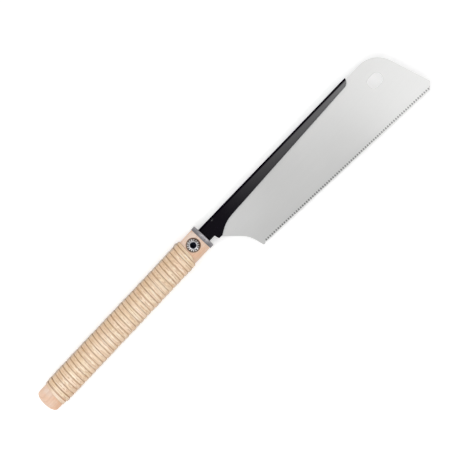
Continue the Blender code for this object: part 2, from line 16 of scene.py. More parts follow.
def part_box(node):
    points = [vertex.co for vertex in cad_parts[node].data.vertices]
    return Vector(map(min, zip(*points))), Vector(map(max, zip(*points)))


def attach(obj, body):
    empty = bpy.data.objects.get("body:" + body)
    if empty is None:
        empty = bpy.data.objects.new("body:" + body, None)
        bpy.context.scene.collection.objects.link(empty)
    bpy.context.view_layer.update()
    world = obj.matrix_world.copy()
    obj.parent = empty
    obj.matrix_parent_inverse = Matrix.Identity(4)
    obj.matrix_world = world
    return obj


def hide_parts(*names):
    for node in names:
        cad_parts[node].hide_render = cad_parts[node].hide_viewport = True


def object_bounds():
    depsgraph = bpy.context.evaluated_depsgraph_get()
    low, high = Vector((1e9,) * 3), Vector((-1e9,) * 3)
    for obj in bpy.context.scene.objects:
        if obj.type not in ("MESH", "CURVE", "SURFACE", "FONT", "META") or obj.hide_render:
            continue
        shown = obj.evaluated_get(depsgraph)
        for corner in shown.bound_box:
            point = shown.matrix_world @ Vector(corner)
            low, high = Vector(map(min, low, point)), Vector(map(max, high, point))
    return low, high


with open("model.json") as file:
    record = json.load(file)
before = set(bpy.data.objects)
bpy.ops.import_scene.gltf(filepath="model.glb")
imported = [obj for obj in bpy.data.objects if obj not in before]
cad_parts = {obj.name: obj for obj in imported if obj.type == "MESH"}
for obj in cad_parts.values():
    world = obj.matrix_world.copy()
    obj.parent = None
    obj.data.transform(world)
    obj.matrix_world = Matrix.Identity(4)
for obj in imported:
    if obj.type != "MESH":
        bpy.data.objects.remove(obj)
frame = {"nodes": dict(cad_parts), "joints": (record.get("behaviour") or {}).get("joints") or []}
cad_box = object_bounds()


# Wooden core of the handle: one stick of pale, close-grained wood, sanded and left bare, with an oval section
# and a rounded butt. Its head is bored for the clamp screw and mortised for the blade's tang, and its stepped
# end goes into the ferrule.
core_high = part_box("handle_core")[1]
HALF_WIDTH = core_high.y
HALF_THICKNESS = core_high.z
CORE_END = core_high.x
SHOULDER = 0.24105
SPIGOT_INSET = 0.00045
BUTT_DOME = 0.006
DOME_POWER = 2.3
DOME_TURNS = np.radians(np.linspace(12, 90, 16))
AROUND = 96
RINGS = 24
WINDOW_REACH = 0.0096
WINDOW_COLUMNS = 12
BORE_LIP = 0.0007
BORE_RINGS = 8
WALL_RINGS = 5
SCREW_AXIS = np.array(frame["joints"][2]["pos_m"][:2])
SCREW_HOLE = 0.0032
WASHER_BORE = 0.0072
WASHER_FLOOR = 0.00433
NUT_BORE = 0.0045
FLANGE_BORE = 0.0073
FLANGE_FLOOR = -0.00693
MORTISE_REAR = 0.22335
MORTISE_HALF_HEIGHT = 0.00955
MORTISE_HALF_WIDTH = 0.00255
PILOT_OFFSET = 0.011325
PILOT_RADIUS = 0.00095
PILOT_DEPTH = 0.0079
PILOT_SIDES = 24
SAME_POINT = 1e-6


def oval(x, turns, proud=0.0):
    """Points on the handle's oval at x, turned from +Z towards the saw's back and proud of the wood:
    y = (half width + proud) sin and z = (half thickness + proud) cos of the turn."""
    x, angle, proud = np.broadcast_arrays(x, 2 * np.pi * np.asarray(turns), proud)
    y = (HALF_WIDTH + proud) * np.sin(angle)
    z = (HALF_THICKNESS + proud) * np.cos(angle)
    return np.stack([x, y, z], axis=-1)


def on_oval(x, y, side):
    """Points at (x, y) on the upper (side 1) or lower (-1) wood: z = side h sqrt(1 - (y / w)^2), where h is
    the half thickness and w the half width."""
    z = side * HALF_THICKNESS * np.sqrt(1 - (y / HALF_WIDTH) ** 2)
    return np.stack([x, y, z], axis=-1)


def ring(centre, radius, angles, z):
    """A circle about (x, y): the points centre + radius (cos, sin) at the height z."""
    x = centre[0] + radius * np.cos(angles)
    y = centre[1] + radius * np.sin(angles)
    return np.stack(np.broadcast_arrays(x, y, z), axis=-1)


def grid(points, closed=True, keep=None):
    """A patch with a four-sided face in each kept cell of a (rows, columns) grid of points, whose last column
    meets its first where it is closed."""
    rows, columns = points.shape[:2]
    number = np.arange(rows * columns).reshape(rows, columns)
    if closed:
        number = np.concatenate([number, number[:, :1]], axis=1)
    cells = np.stack([number[:-1, :-1], number[:-1, 1:], number[1:, 1:], number[1:, :-1]], axis=-1)
    cells = cells.reshape(-1, 4) if keep is None else cells[keep]
    return points.reshape(-1, 3), cells.tolist()


def flat(*loops):
    """A flat patch inside its first loop of points and outside the others."""
    triangles = tessellate_polygon([list(map(Vector, loop)) for loop in loops])
    return np.concatenate(loops), [list(corners) for corners in triangles]


def piece(name, patches, finish, sharp=40.0, strip=None):
    """A mesh object of patches: points that coincide become one, faces point outwards, and edges that turn by
    more than the sharp angle in degrees stay sharp. A strip's points keep their place along and across it."""
    points = [patch[0] for patch in patches]
    starts = np.cumsum([0, *map(len, points[:-1])])
    faces = []
    for start, patch in zip(starts, patches):
        faces += [[corner + start for corner in face] for face in patch[1]]
    mesh = bpy.data.meshes.new(name)
    mesh.from_pydata(np.concatenate(points), [], faces)
    if strip is not None:
        mesh.attributes.new("strip", "FLOAT_VECTOR", "POINT").data.foreach_set("vector", strip.ravel())
    welded = bmesh.new()
    welded.from_mesh(mesh)
    bmesh.ops.remove_doubles(welded, verts=welded.verts, dist=SAME_POINT)
    bmesh.ops.recalc_face_normals(welded, faces=welded.faces)
    welded.to_mesh(mesh)
    welded.free()
    mesh.shade_smooth()
    mesh.set_sharp_from_angle(angle=np.radians(sharp))
    mesh.materials.append(finish)
    made = bpy.data.objects.new(name, mesh)
    bpy.context.scene.collection.objects.link(made)
    return made


def bored(skin, rows, columns, side, bore):
    """The wood round a bore: straight lines from the skin's window (rows by columns) to the bore's lip, laid
    on the oval, and a small chamfer. Gives the patches, the chamfer's lower ring and its points' angles."""
    first, last = rows
    border = [
        skin[first, columns[:-1]],
        skin[first:last, columns[-1]],
        skin[last, columns[:0:-1]],
        skin[last:first:-1, columns[0]],
    ]
    window = np.concatenate(border)
    angles = np.arctan2(window[:, 1] - SCREW_AXIS[1], window[:, 0] - SCREW_AXIS[0])
    lip = ring(SCREW_AXIS, bore + BORE_LIP, angles, 0)
    share = np.linspace(0, 1, BORE_RINGS)[:, None, None]
    spread = lip + (window - lip) * share
    around = on_oval(spread[..., 0], spread[..., 1], side)
    inner = ring(SCREW_AXIS, bore, angles, 0)
    inner = on_oval(inner[:, 0], inner[:, 1], side) - [0, 0, side * BORE_LIP]
    return [grid(around), grid(np.stack([around[0], inner]))], inner, angles


def core_patches():
    """The core's skin, ring by ring, with its bores, mortise and pilot holes. On the butt's dome the oval has
    the share f of its full size at x = d (1 - (1 - f^n)^(1/n)), where d is the dome's length, n its power."""
    dome = np.sin(DOME_TURNS)
    dome_x = BUTT_DOME * (1 - (1 - dome**DOME_POWER) ** (1 / DOME_POWER))
    window_start = SCREW_AXIS[0] - WINDOW_REACH
    grip = np.linspace(BUTT_DOME, window_start, RINGS + 1)[1:]
    head = np.linspace(window_start, SCREW_AXIS[0] + WINDOW_REACH, RINGS + 1)[1:]
    x = np.concatenate([dome_x - dome_x[0], grip, head, [SHOULDER, SHOULDER, CORE_END]])
    proud = np.zeros(len(x))
    proud[-2:] = -SPIGOT_INSET
    turns = np.arange(AROUND) / AROUND
    skin = oval(x[:, None], turns[None, :], proud[:, None])
    skin[: len(dome), :, 1:] *= dome[:, None, None]
    rows = (len(dome) + len(grip) - 1, len(x) - 4)
    keep = np.ones((len(x) - 1, AROUND), bool)
    patches = [flat(skin[0])]
    reach = np.arange(-WINDOW_COLUMNS, WINDOW_COLUMNS + 1)
    bores = [
        (1, 0, WASHER_BORE, WASHER_FLOOR, SCREW_HOLE),
        (-1, AROUND // 2, FLANGE_BORE, FLANGE_FLOOR, NUT_BORE),
    ]
    mortise_rings = []
    for side, middle, bore, floor, hole in bores:
        columns = (middle + reach) % AROUND
        keep[rows[0] : rows[1], columns[:-1]] = False
        around, top, angles = bored(skin, rows, columns, side, bore)
        bottom = ring(SCREW_AXIS, bore, angles, floor)
        wall = top + (bottom - top) * np.linspace(0, 1, WALL_RINGS)[:, None, None]
        ledge = ring(SCREW_AXIS, hole, angles, floor)
        through = ring(SCREW_AXIS, hole, angles, side * MORTISE_HALF_WIDTH)
        patches += [*around, grid(wall), grid(np.stack([bottom, ledge, through]))]
        mortise_rings.append(through)
    y, z = MORTISE_HALF_HEIGHT, MORTISE_HALF_WIDTH
    section = np.array([[-y, z], [y, z], [y, -z], [-y, -z]])
    ends = [np.column_stack([np.full(4, at), section]) for at in (MORTISE_REAR, CORE_END)]
    angles = 2 * np.pi * np.arange(PILOT_SIDES) / PILOT_SIDES
    circle = PILOT_RADIUS * np.column_stack([np.cos(angles), np.sin(angles)])
    pilots = []
    for side in (1, -1):
        hole = circle + [side * PILOT_OFFSET, 0]
        mouth = np.column_stack([np.full(PILOT_SIDES, CORE_END), hole])
        bottom = mouth - [PILOT_DEPTH, 0, 0]
        pilots.append(mouth)
        patches += [grid(np.stack([mouth, bottom])), flat(bottom)]
    walls = [[ends[0][i], ends[0][j], ends[1][j], ends[1][i]] for i, j in ((0, 1), (1, 2), (2, 3), (3, 0))]
    patches += [flat(np.array(walls[0]), mortise_rings[0]), flat(np.array(walls[2]), mortise_rings[1])]
    patches += [flat(np.array(walls[1])), flat(np.array(walls[3])), flat(ends[0])]
    patches += [flat(skin[-1], ends[1], *pilots), grid(skin, keep=keep)]
    return patches


class Shade:
    """A socket of a material's nodes. Sums, products, remainders and sizes of it add Math nodes."""

    def __init__(self, tree, socket=None):
        self.tree = tree
        self.socket = socket

    def node(self, kind, settings=None, sockets=None, output=0):
        """Adds a node of any other kind: its settings come first, then a value or a link for each socket."""
        made = self.tree.nodes.new("ShaderNode" + kind)
        for name, value in (settings or {}).items():
            setattr(made, name, value)
        for name, value in (sockets or {}).items():
            if isinstance(value, Shade):
                self.tree.links.new(value.socket, made.inputs[name])
            else:
                made.inputs[name].default_value = value
        return Shade(self.tree, made.outputs[output])

    def maths(self, operation, other=0.0):
        """A Math node on this value and another."""
        return self.node("Math", {"operation": operation}, {0: self, 1: other})

    def __add__(self, other):
        return self.maths("ADD", other)

    def __sub__(self, other):
        return self.maths("SUBTRACT", other)

    def __rsub__(self, other):
        return self.node("Math", {"operation": "SUBTRACT"}, {0: other, 1: self})

    def __mul__(self, other):
        return self.maths("MULTIPLY", other)

    def __truediv__(self, other):
        return self.maths("DIVIDE", other)

    def __mod__(self, other):
        return self.maths("FLOORED_MODULO", other)

    def __abs__(self):
        return self.maths("ABSOLUTE")

    __radd__ = __add__
    __rmul__ = __mul__

    def step(self, low, high):
        """0 below low, 1 above high and smooth between them, or the other way where low is the greater."""
        ends = {"Value": self, "From Min": low, "From Max": high}
        return self.node("MapRange", {"interpolation_type": "SMOOTHSTEP"}, ends)

    def over(self, under, top):
        """A colour: under where this mask is 0 and top where it is 1."""
        ends = {0: self, 6: under, 7: top}
        return self.node("Mix", {"data_type": "RGBA"}, ends, output=2)

    def stretched(self, scale, turn=(0, 0, 0)):
        """These coordinates turned by (x, y, z) radians and scaled, for a pattern that runs along a piece."""
        return self.node("Mapping", {}, {"Vector": self, "Rotation": turn, "Scale": scale})

    def noise(self, scale=1.0, detail=2.0, rough=0.5):
        """Soft random values from 0 to 1 over these coordinates."""
        sockets = {"Vector": self, "Scale": scale, "Detail": detail, "Roughness": rough}
        return self.node("TexNoise", {}, sockets)

    def axis(self, number):
        """One coordinate of a vector."""
        return self.node("SeparateXYZ", {}, {0: self}, output=number)


def finish_of(name, constants):
    """A new Principled material, with what is the same all over on the shader's own sockets. Gives it, its
    Object coordinates and a function that links varying values to the shader."""
    material = bpy.data.materials.new(name)
    material.use_nodes = True
    tree = material.node_tree
    shader = tree.nodes["Principled BSDF"]
    for socket, value in constants.items():
        shader.inputs[socket].default_value = value

    def feed(height=None, depth=0.0, **values):
        """Links a colour, a roughness or a coat's weight, and a bump of this height and depth in metres."""
        links = {"colour": "Base Color", "roughness": "Roughness", "coat": "Coat Weight"}
        for word, value in values.items():
            tree.links.new(value.socket, shader.inputs[links[word]])
        if height:
            bump = height.node("Bump", {}, {"Height": height, "Distance": depth})
            tree.links.new(bump.socket, shader.inputs["Normal"])

    return material, Shade(tree).node("TexCoord", output="Object"), feed


def about_screw(place):
    """Coordinates across the clamp screw's axis, and the distance from it."""
    centre = {"Vector": place, "Location": (*-SCREW_AXIS, 0), "Scale": (1, 1, 0)}
    spoke = place.node("Mapping", {}, centre)
    return spoke, place.node("VectorMath", {"operation": "LENGTH"}, {0: spoke}, output="Value")


def wood_finish():
    """Bare wood: growth rings about a heart below the stick, drawn-out pores, blotches from pink to orange,
    and darker walls at the screw's bore: end grain, with painted shade that is deeper and wider towards the
    toe."""
    material, place, feed = finish_of("bare pale wood", {"Specular IOR Level": 0.35})
    heart = place.node("Mapping", {}, {"Vector": place, "Location": (0, 0.034, 0.052), "Scale": (0, 1, 1)})
    waves = place.stretched((9, 90, 90)).noise(1.0, 3.0)
    radius = place.node("VectorMath", {"operation": "LENGTH"}, {0: heart}, output="Value") + 0.0016 * waves
    years = radius / 0.0019 % 1
    late = years.step(0.25, 0.95) * years.step(1.0, 0.93)
    pores = place.stretched((260, 3600, 3600)).noise(1.0, 2.0, 0.6)
    blotch = place.stretched((60, 90, 90)).noise(1.0, 3.0, 0.6).step(0.38, 0.62)
    lean = place.axis(1).step(0.013, -0.013)
    base = (0.6 * blotch + 0.4 * lean).over((0.82, 0.66, 0.56, 1), (0.80, 0.50, 0.33, 1))
    ringed = (late * 0.28).over(base, (0.60, 0.36, 0.23, 1))
    grain = (pores.step(0.56, 0.72) * 0.35).over(ringed, (0.62, 0.40, 0.27, 1))
    spoke, away = about_screw(place)
    # Painted shade at the screw's bore: its lip and wall are darkened, more deeply and further out towards the
    # toe. The rest of this darkening is end grain.
    painted_bore_shade = (spoke.axis(0) + 0.2 * spoke.axis(1)).step(-WASHER_BORE, 0.8 * WASHER_BORE)
    cut = (away - 0.0004 * painted_bore_shade).step(WASHER_BORE + 1.2 * BORE_LIP, WASHER_BORE + 0.8 * BORE_LIP)
    colour = (cut * (0.42 + 0.45 * painted_bore_shade)).over(grain, (0.13, 0.06, 0.03, 1))
    feed(colour=colour, roughness=0.5 + 0.18 * pores, height=pores + late, depth=0.00004)
    return material


core = piece("wooden_core", core_patches(), wood_finish())
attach(core, "handle")
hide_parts("handle_core")


# Rattan wrap: one long strip of split cane, rounded on its outer side, wound tight round the grip from the
# butt. Its first end is pared thin, its tail is tucked under the last turns, and it is cut off at the head.
wrap_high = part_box("rattan_wrap")[1]
WRAP_START = 0.01365
WRAP_END = wrap_high.x
PITCH = 0.005698
STRIP_THICKNESS = wrap_high.z - HALF_THICKNESS
STRIP_SEAT = 0.00012
GROOVE = 0.0002
FIRST_GROOVES = 0.0006
FIRST_TURNS = 2
PARED_THICKNESS = 0.0005
PARED_TURNS = 1.3
CROWN_POWER = 4.0
STATIONS_PER_TURN = 72
CROWN_POINTS = 15
TUCK_AT = (0.2178, 0.25)
TUCK_RISE = 0.0010
TUCK_REACH = (0.0055, 0.2)
EDGE_WANDER = 0.00009
EDGE_KNOTS = 1.7
HEIGHT_WANDER = 0.00022
HEIGHT_KNOTS = 1.3
PARED_EDGE = 0.0022
PARED_EDGE_TURN = 0.72
PARED_EDGE_REACH = 0.22
STRIP_ENDS = (-0.5, 36.86)
TAPER_TURNS = (35.32, 35.5)
TONGUE_TURNS = (35.78, 35.91)
TONGUE_EDGE = 0.2211
TONGUE_SLANT = 0.0105
TONGUE_LEAST = 0.0001
TONGUE_THICKNESS = 0.0013
UNSHADED_LINE = -0.0035
strip_chance = np.random.default_rng(31)


def wander(turns, amount, per_turn):
    """A smooth random line along the strip: values drawn at even steps, joined by half cosine waves."""
    at = (turns - STRIP_ENDS[0]) * per_turn + 2
    knots = strip_chance.uniform(-amount, amount, int(at.max()) + 3)
    left = np.floor(at).astype(int)
    ease = (1 - np.cos(np.pi * (at - left))) / 2
    return knots[left] * (1 - ease) + knots[left + 1] * ease


def wrap_patches():
    """The strip's crowned section carried along the helix x = start + pitch (turns + share across). Its
    height is t (1 - |s|^n)^(1/n), with s from -1 to 1 across. Also gives each point's metres along, s and
    turns."""
    turns = np.arange(*STRIP_ENDS, 1 / STATIONS_PER_TURN)
    late = turns + 1
    edges = np.concatenate([turns, late[late > turns[-1]]])
    edge = WRAP_START + PITCH * edges + wander(edges, EDGE_WANDER, EDGE_KNOTS)
    from_pared = (edges - STRIP_ENDS[0] - PARED_EDGE_TURN) / PARED_EDGE_REACH
    edge += PARED_EDGE * np.exp(-(from_pared**2))
    gap = (GROOVE + FIRST_GROOVES * np.exp(-((edges / FIRST_TURNS) ** 4))) / 2
    rear = (edge + gap)[: len(turns)]
    front = (edge - gap)[STATIONS_PER_TURN : STATIONS_PER_TURN + len(turns)]
    taper = rear + (front - rear) * np.interp(turns, TAPER_TURNS, (1, 0))
    cut = TONGUE_EDGE + TONGUE_SLANT * (turns - TONGUE_TURNS[1])
    tongue = rear + (cut - rear) * np.interp(turns, TONGUE_TURNS, (0, 1))
    tongue = np.where(turns < TAPER_TURNS[1], taper, tongue)
    front = np.clip(np.minimum(front, tongue), rear + TONGUE_LEAST, WRAP_END)
    grown = np.clip((turns - STRIP_ENDS[0]) / PARED_TURNS, 0, 1)
    full = STRIP_THICKNESS - STRIP_SEAT - HEIGHT_WANDER + wander(turns, HEIGHT_WANDER, HEIGHT_KNOTS)
    thickness = PARED_THICKNESS + (full - PARED_THICKNESS) * grown * grown * (3 - 2 * grown)
    thickness *= np.clip((front - rear) / PITCH, 0, 0.5) * 2
    thickness = np.where(turns < TAPER_TURNS[1], thickness, np.minimum(thickness, TONGUE_THICKNESS))
    across = np.sin(np.linspace(-np.pi / 2, np.pi / 2, CROWN_POINTS))
    height = (1 - np.abs(across) ** CROWN_POWER) ** (1 / CROWN_POWER)
    x = rear[:, None] + (front - rear)[:, None] * (1 + across) / 2
    from_tuck = np.clip(np.abs(x - TUCK_AT[0]) / TUCK_REACH[0], 0, 1)
    turned_off = np.clip(np.abs(turns % 1 - TUCK_AT[1]) / TUCK_REACH[1], 0, 1)[:, None]
    lift = TUCK_RISE * (1 + np.cos(np.pi * from_tuck)) * (1 + np.cos(np.pi * turned_off)) / 4
    proud = STRIP_SEAT + height * thickness[:, None] + lift * (height > 0)
    points = oval(x, turns[:, None], proud)
    girth = np.pi * (HALF_WIDTH + HALF_THICKNESS)
    marks = np.stack(np.broadcast_arrays(girth * turns[:, None], across, turns[:, None]), axis=-1)
    strip = np.concatenate([marks.reshape(-1, 3), marks[0], marks[-1]])
    return [grid(points), flat(points[0]), flat(points[-1])], strip


def cane_finish():
    """Split cane: long fibres along the strip, some of them dark and broken, tones from peach to straw that
    change from turn to turn, painted shade in the grooves, down the flanks and on the outer sides, and a low
    gloss."""
    constants = {"Specular IOR Level": 0.4, "Coat Roughness": 0.3, "Coat IOR": 1.45}
    material, place, feed = finish_of("split rattan cane", constants)
    along = place.node("Attribute", {"attribute_name": "strip"}, output="Vector")
    across = along.axis(1)
    slow = along.stretched((22, 0, 0)).noise(1.0, 2.0).step(0.34, 0.66)
    patches = along.stretched((45, 0.7, 0)).noise(1.0, 3.0).step(0.3, 0.7)
    fibres = along.stretched((55, 1.9, 0)).noise(1.0, 3.0, 0.6)
    threads = along.stretched((260, 7, 0)).noise(1.0, 1.0)
    lines = along.stretched((24, 1.7, 0)).noise(1.0, 0.0).step(0.5, 0.6)
    dashes = along.stretched((280, 1.5, 0)).noise(1.0, 0.0).step(0.42, 0.54)
    tone = slow.over((0.87, 0.64, 0.46, 1), (0.84, 0.66, 0.44, 1))
    tone = (patches * 0.5).over(tone, (0.92, 0.75, 0.58, 1))
    tone = (fibres.step(0.46, 0.64) * 0.8).over(tone, (0.98, 0.87, 0.73, 1))
    tone = (fibres.step(0.46, 0.30) * 0.35).over(tone, (0.58, 0.38, 0.22, 1))
    tone = (lines * dashes * 0.4).over(tone, (0.50, 0.27, 0.13, 1))
    drift = along.stretched((14, 0, 0)).noise(1.0, 1.0) - 0.5
    pith = abs(across - 2.4 * drift).step(0.2, 0.06)
    tone = (pith * dashes * 0.5).over(tone, (0.52, 0.28, 0.14, 1))
    tone = (threads.step(0.56, 0.74) * 0.25).over(tone, (0.52, 0.30, 0.16, 1))
    pared = along.axis(2).step(0.9, 0.2)
    tone = (pared * 0.5).over(tone, (0.92, 0.77, 0.65, 1))
    edge = abs(across)
    early_turns = along.axis(2).step(2.4, 1.4)
    side = place.axis(1)
    # Painted shade down both flanks, away from the lit line a little towards the teeth.
    painted_flank_shade = abs(side - UNSHADED_LINE).step(0.002, 0.0145)
    # Painted shade towards each turn's edges and in the grooves. It is deeper on the first turns' wider
    # grooves and on the flanks.
    tone = (edge.step(0.5, 1.0) * (0.24 + 0.2 * painted_flank_shade + 0.4 * early_turns)).over(tone, (0.50, 0.29, 0.14, 1))
    tone = (painted_flank_shade * 0.55).over(tone, (0.64, 0.41, 0.23, 1))
    # Painted shade, grey, along the wrap's outermost sides. It is heavier on the back's side.
    painted_side_shade = side.step(0.0120, 0.0155) * 0.7 + side.step(-0.0135, -0.0160) * 0.35
    tone = painted_side_shade.over(tone, (0.36, 0.31, 0.28, 1))
    feed(
        colour=tone,
        roughness=0.46 + 0.2 * fibres,
        coat=0.5 * edge.step(0.9, 0.3),
        height=fibres + 0.6 * threads,
        depth=0.00007,
    )
    return material


strip_patches, strip_marks = wrap_patches()
wrap = piece("cane_wrap", strip_patches, cane_finish(), 65.0, strip_marks)
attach(wrap, "handle")
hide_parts("rattan_wrap")


# Ferrule: a cap of dull grey steel, pressed from sheet, over the wood's stepped end. It has a rounded front
# edge, a slot for the tang and two countersunk holes for the screws that hold it to the wood.
ferrule_low, ferrule_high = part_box("ferrule")
FERRULE_REAR = ferrule_low.x
HANDLE_FRONT = ferrule_high.x
FERRULE_PROUD = ferrule_high.z - HALF_THICKNESS
FERRULE_GAP = 0.00015
FERRULE_PLATE = 0.0012
FERRULE_EDGE = 0.0005
REAR_EDGE = 0.00015
SLOT_HALF_HEIGHT = 0.0086
SLOT_HALF_WIDTH = 0.0016
SLOT_ROUND = 0.0004
SLOT_CHAMFER = 0.00015
SINK_RADIUS = 0.00165
SINK_SIDES = 32
FERRULE_LIT_LINE = -0.0015
ARC_STEP = np.radians(7.5)


def rounded(corners):
    """The outline through (x, y, radius) corners, as one array of points for each corner: an arc that touches
    both its sides, or the corner alone where its radius is 0."""
    corners = np.asarray(corners, float)
    runs = []
    for before, here, after in zip(np.roll(corners, 1, 0), corners, np.roll(corners, -1, 0)):
        corner, radius = here[:2], here[2]
        if radius == 0:
            runs.append(corner[None])
            continue
        back = (before[:2] - corner) / np.linalg.norm(before[:2] - corner)
        on = (after[:2] - corner) / np.linalg.norm(after[:2] - corner)
        half = np.arccos(back @ on) / 2
        centre = corner + (back + on) / np.linalg.norm(back + on) * radius / np.sin(half)
        start = corner + back * radius / np.tan(half) - centre
        sweep = -np.sign(back[0] * on[1] - back[1] * on[0]) * (np.pi - 2 * half)
        turn = sweep * np.linspace(0, 1, max(3, int(np.ceil(abs(sweep) / ARC_STEP)) + 1))[:, None]
        runs.append(centre + start * np.cos(turn) + np.array([-start[1], start[0]]) * np.sin(turn))
    return runs


def ferrule_patches():
    """The cap's section, (x, proud of the wood), carried round the oval, and its pierced front plate."""
    inner = SPIGOT_INSET - FERRULE_GAP
    plate_rear = HANDLE_FRONT - FERRULE_PLATE
    bend = np.radians(np.linspace(0, 90, 7))
    x = [plate_rear, FERRULE_REAR, FERRULE_REAR, FERRULE_REAR + REAR_EDGE]
    x = np.concatenate([x, HANDLE_FRONT - FERRULE_EDGE * (1 - np.sin(bend))])
    proud = [-inner, -inner, FERRULE_PROUD - REAR_EDGE, FERRULE_PROUD]
    proud = np.concatenate([proud, FERRULE_PROUD - FERRULE_EDGE * (1 - np.cos(bend))])
    cap = oval(x[:, None], np.arange(AROUND) / AROUND, proud[:, None])

    def slot(x, grow=0.0):
        """The tang's slot at x, a rounded rectangle, grown all round."""
        y, z = SLOT_HALF_HEIGHT + grow, SLOT_HALF_WIDTH + grow
        corners = [(-y, -z), (y, -z), (y, z), (-y, z)]
        outline = np.concatenate(rounded([(*corner, SLOT_ROUND) for corner in corners]))
        return np.column_stack([np.full(len(outline), x), outline])

    mouth = slot(HANDLE_FRONT, SLOT_CHAMFER)
    slots = np.stack([mouth, slot(HANDLE_FRONT - SLOT_CHAMFER), slot(plate_rear)])
    angles = 2 * np.pi * np.arange(SINK_SIDES) / SINK_SIDES
    circle = np.column_stack([np.cos(angles), np.sin(angles)])
    sinks = []
    sunk = SINK_RADIUS - PILOT_RADIUS
    for side in (1, -1):
        rings = [(HANDLE_FRONT, SINK_RADIUS), (HANDLE_FRONT - sunk, PILOT_RADIUS), (plate_rear, PILOT_RADIUS)]
        centre = [side * PILOT_OFFSET, 0]
        holes = [np.column_stack([np.full(SINK_SIDES, x), centre + circle * radius]) for x, radius in rings]
        sinks.append(np.stack(holes))
    front = flat(cap[-1], slots[0], *[sink[0] for sink in sinks])
    rear = flat(cap[0], slots[-1], *[sink[-1] for sink in sinks])
    return [grid(cap), front, rear, grid(slots), *[grid(sink) for sink in sinks]]


def sheet_steel_finish(name, colour, rough, wear_and_shade):
    """Pressed sheet steel: faint rolling lines along the handle's girth, cloudy patches and a mottled gloss.
    A painted highlight with wear brightens the front edge; it is darker towards the rear edge, painted shade
    darkens the oval's ends, and it is spotted."""
    material, place, feed = finish_of(name, {"Metallic": 0.35})
    lines = place.stretched((2600, 90, 90)).noise(1.0, 2.0)
    clouds = place.stretched((420, 420, 420)).noise(1.0, 3.0)
    mottle = (lines * 0.4 + clouds * 0.6).step(0.36, 0.62)
    tone = mottle.over((*(0.70 * np.array(colour)), 1), (*(1.30 * np.array(colour)), 1))
    spots = place.stretched((900, 900, 900)).noise(1.0, 1.0).step(0.58, 0.70)
    # A painted highlight along the rounded front edge, together with wear.
    front_highlight_and_wear = place.axis(0).step(HANDLE_FRONT - 0.0035, HANDLE_FRONT - 0.0008) * (0.4 + 0.6 * clouds)
    tone = (front_highlight_and_wear * wear_and_shade).over(tone, (0.66, 0.64, 0.67, 1))
    # Darker towards the rear edge.
    darker_rear = place.axis(0).step(FERRULE_REAR + 0.003, FERRULE_REAR) * clouds
    tone = (darker_rear * wear_and_shade).over(tone, (0.15, 0.135, 0.135, 1))
    # Painted shade on the oval's ends, away from the lit line near the middle.
    sides = abs(place.axis(1) - FERRULE_LIT_LINE).step(0.003, 0.009)
    tone = (sides * 0.75 * wear_and_shade).over(tone, (0.11, 0.108, 0.112, 1))
    feed(
        colour=(spots * wear_and_shade).over(tone, (0.16, 0.14, 0.14, 1)),
        roughness=rough - 0.08 + 0.2 * clouds + 0.06 * lines,
        height=lines + clouds,
        depth=0.00002,
    )
    return material


dull_steel = sheet_steel_finish("dull grey steel", (0.33, 0.315, 0.335), 0.45, 0.8)
ferrule = piece("ferrule_cap", ferrule_patches(), dull_steel)
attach(ferrule, "handle")
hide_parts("ferrule")


# Liner of the mortise: a socket folded from plain steel sheet, which the tang slides into. Its flange lies
# under the ferrule's front plate.
liner_steel = sheet_steel_finish("liner sheet", (0.46, 0.46, 0.47), 0.5, 0.8)
frame["nodes"]["tang_socket"].material_slots[0].material = liner_steel


# Ferrule screws: two small countersunk steel screws, bright zinc plated, which hold the ferrule and the
# liner's flange to the end of the wood.
def plated_finish(name, colour, rough, grime_and_shade=0.2, serrations=0):
    """Zinc plate on turned steel: fine turning marks across the axis, faint clouds, and brown dirt in specks.
    Round the clamp screw's axis, the notch between the lands of each serration is darkened brown, with painted
    shade."""
    material, place, feed = finish_of(name, {"Metallic": 1.0})
    marks = place.stretched((900, 900, 5200)).noise(1.0, 2.0)
    clouds = place.stretched((420, 420, 420)).noise(1.0, 2.0)
    tone = (clouds * 0.6 + marks * 0.3).over((*(0.82 * np.array(colour)), 1), (*(1.12 * np.array(colour)), 1))
    specks = place.stretched((520, 520, 520)).noise(1.0, 2.0).step(0.47, 0.6)
    if serrations:
        spoke = about_screw(place)[0]
        # Dirt with painted shade: the notch between each serration's lands is darkened brown.
        turn = spoke.axis(1).maths("ARCTAN2", spoke.axis(0)) * (serrations / (2 * np.pi))
        notch_grime_and_shade = abs(turn % 1 - 0.5).step(0.2, 0.38)
        specks = specks * 0.2 + notch_grime_and_shade * (0.6 + 0.3 * clouds)
    feed(
        colour=(specks * grime_and_shade).over(tone, (0.10, 0.065, 0.045, 1)),
        roughness=rough + 0.12 * clouds + 0.05 * marks + 0.2 * grime_and_shade * specks,
        height=marks,
        depth=0.00001,
    )
    return material


zinc = plated_finish("bright zinc plate", (0.66, 0.66, 0.68), 0.16)
for name in ("ferrule_screw_back", "ferrule_screw_tooth"):
    frame["nodes"][name].material_slots[0].material = zinc


# Saw plate: thin spring steel, ground bright along its length, with a round nose, a hole to hang it by, and
# small teeth filed for the pull, from a little past the heel. Every second tooth is bevelled on the near face
# and the others on the far one, and every second gullet has a dark spot: a hardening mark with painted shade.
TANG_TOP = 0.0084
TANG_LENGTH = 0.0215
PLATE_INSET = 0.0004
PLATE_SETBACK = 0.0014
PLATE_HALF = 0.0002
BLADE_DROOP = np.radians(0.62)
HOOK_REAR = 0.009
HOOK_TIP = 0.0141
HOOK_DEPTH = 0.0223
NOTCH_LENGTH = 0.0076
HEEL_BEHIND_TIP = 0.0026
HEEL_BEND = (0.0329, 0.0431, 0.031)
HEEL = 0.0371
HEEL_DEPTH = 0.061299
HEEL_ROUND = 0.0008
TOOTH_LEAD = 0.0042
TOOTH_LINE = 0.2366
TOOTH_COUNT = 161
TOOTH_DEPTH = 0.0018
TOOTH_LEAN = 0.25
TOOTH_SLOPE = np.radians(3.18)
